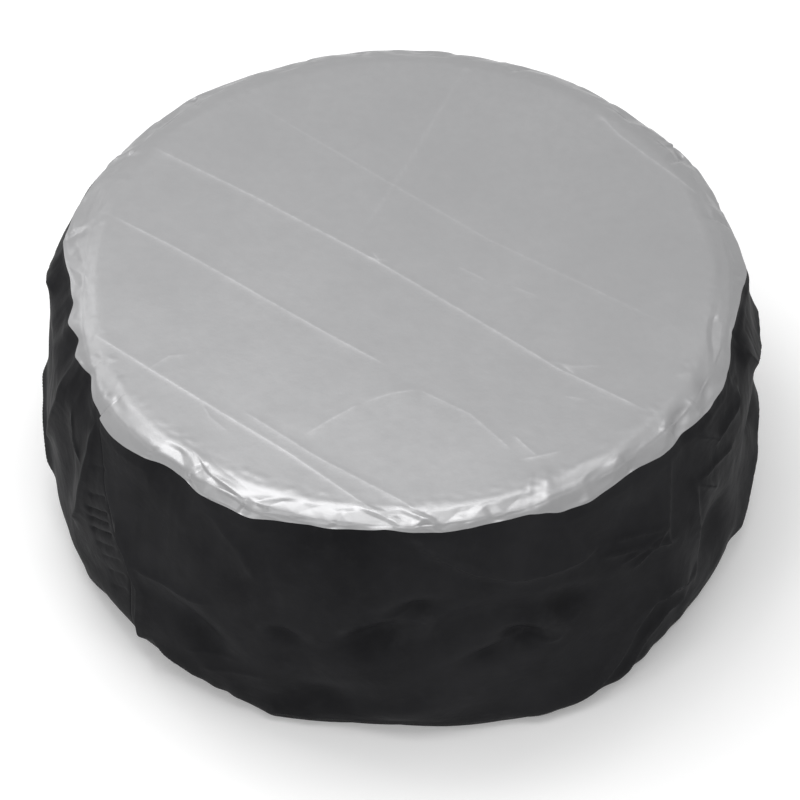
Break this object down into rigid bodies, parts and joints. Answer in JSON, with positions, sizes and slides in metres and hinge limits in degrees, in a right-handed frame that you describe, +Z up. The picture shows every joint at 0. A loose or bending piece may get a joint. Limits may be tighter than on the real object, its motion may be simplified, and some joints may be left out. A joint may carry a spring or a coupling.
{
  "type": "round spa cover",
  "caption": "Round fitted cover for a free-standing spa: silver top disc with a rounded rim, black cloth skirt, taped seams and an elastic hem tunnel.",
  "frame": {"origin": "centre of the hem's lower edge, on the floor", "axes": "+Z up along the cover's axis, -Y the front, +X to the right seen from the front"},
  "size_m": [1.7998, 1.7998, 0.76],
  "materials": {
    "silver_cloth": "satin, silver-coated plain weave",
    "black_cloth": "soft sheen, plain weave",
    "black_tape": "matte woven tape",
    "black_thread": "matte thread",
    "white_elastic": "matte braided elastic"
  },
  "bodies": {
    "root": {"top_panel": "silver_cloth", "skirt_front_panel": "black_cloth", "skirt_back_panel": "black_cloth", "rim_seam_tape": "black_tape", "side_seam_tape_left": "black_tape", "side_seam_tape_right": "black_tape", "hem_elastic": "white_elastic", "elastic_splice": "white_elastic", "rim_seam_thread": "black_thread", "side_seam_thread_left": "black_thread", "side_seam_thread_right": "black_thread", "hem_thread": "black_thread"}
  },
  "joints": []
}
